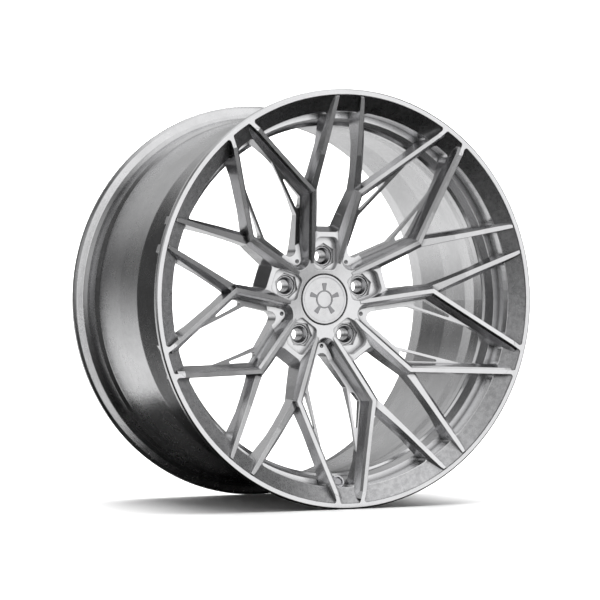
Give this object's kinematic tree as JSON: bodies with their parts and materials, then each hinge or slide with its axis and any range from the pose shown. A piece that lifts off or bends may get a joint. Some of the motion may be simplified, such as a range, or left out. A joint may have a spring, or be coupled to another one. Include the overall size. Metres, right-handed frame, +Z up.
{
  "type": "wheel",
  "caption": "Forged aluminium road wheel with paired ridged Y spokes and short blade spokes, bolt-on hub, clamp-in tyre valve and snap-in centre cap.",
  "frame": {"origin": "centre of the wheel, on the axle line midway between the two outer flange faces", "axes": "-Y points to the outside of the vehicle along the axle, +Z up through one stud hole, +X to the right seen from the outside"},
  "size_m": [0.5426, 0.2989, 0.5426],
  "materials": {
    "machined_aluminium": "satin brushed, fine machining lines",
    "spun_aluminium": "turned satin",
    "weld_aluminium": "rippled weld bead",
    "seat_steel": "turned satin",
    "cap_plastic": "moulded matt",
    "cap_aluminium": "fine blasted satin",
    "emblem_chrome": "polished",
    "spring_steel": "drawn wire",
    "valve_aluminium": "anodised satin",
    "valve_steel": "zinc plated",
    "core_brass": "machined",
    "valve_cap_metal": "grey anodised, fluted",
    "seal_rubber": "matt moulded"
  },
  "bodies": {
    "wheel": {"face_forging": "machined_aluminium", "barrel": "spun_aluminium", "seam_weld": "weld_aluminium", "lug_seat_1": "seat_steel", "lug_seat_2": "seat_steel", "lug_seat_3": "seat_steel", "lug_seat_4": "seat_steel", "lug_seat_5": "seat_steel", "valve_stem": "valve_aluminium", "valve_grommet": "seal_rubber", "valve_washer": "valve_steel", "valve_nut": "valve_aluminium", "valve_core_body": "core_brass", "valve_core_spring": "spring_steel"},
    "centre_cap": {"centre_cap_body": "cap_plastic", "centre_cap_disc": "cap_aluminium", "centre_cap_emblem": "emblem_chrome", "centre_cap_spring_ring": "spring_steel"},
    "valve_pin": {"valve_core_pin": "core_brass", "valve_core_washer": "seal_rubber"},
    "valve_cap_seal": {"valve_cap_seal": "seal_rubber"},
    "valve_cap": {"valve_cap": "valve_cap_metal"}
  },
  "joints": [
    {"name": "centre_cap_pull", "type": "slide", "parent": "wheel", "child": "centre_cap", "axis": [0, -1, 0], "range_m": [0, 0.03]},
    {"name": "valve_pin_press", "type": "slide", "parent": "wheel", "child": "valve_pin", "axis": [0, 0.9063, -0.4226], "range_m": [0, 0.0012], "stiffness_N_per_m": 400, "springref_m": -0.002},
    {"name": "valve_cap_travel", "type": "slide", "parent": "wheel", "child": "valve_cap_seal", "axis": [0, -0.9063, 0.4226], "range_m": [0, 0.0025]},
    {"name": "valve_cap_turn", "type": "hinge", "parent": "valve_cap_seal", "child": "valve_cap", "pos_m": [0, -0.1115, -0.2385], "axis": [0, -0.9063, 0.4226], "range_deg": [0, 1140]}
  ],
  "couplings": [
    {"joint": "valve_cap_turn", "follows": "valve_cap_travel", "rad_per_m": 7913.3}
  ]
}
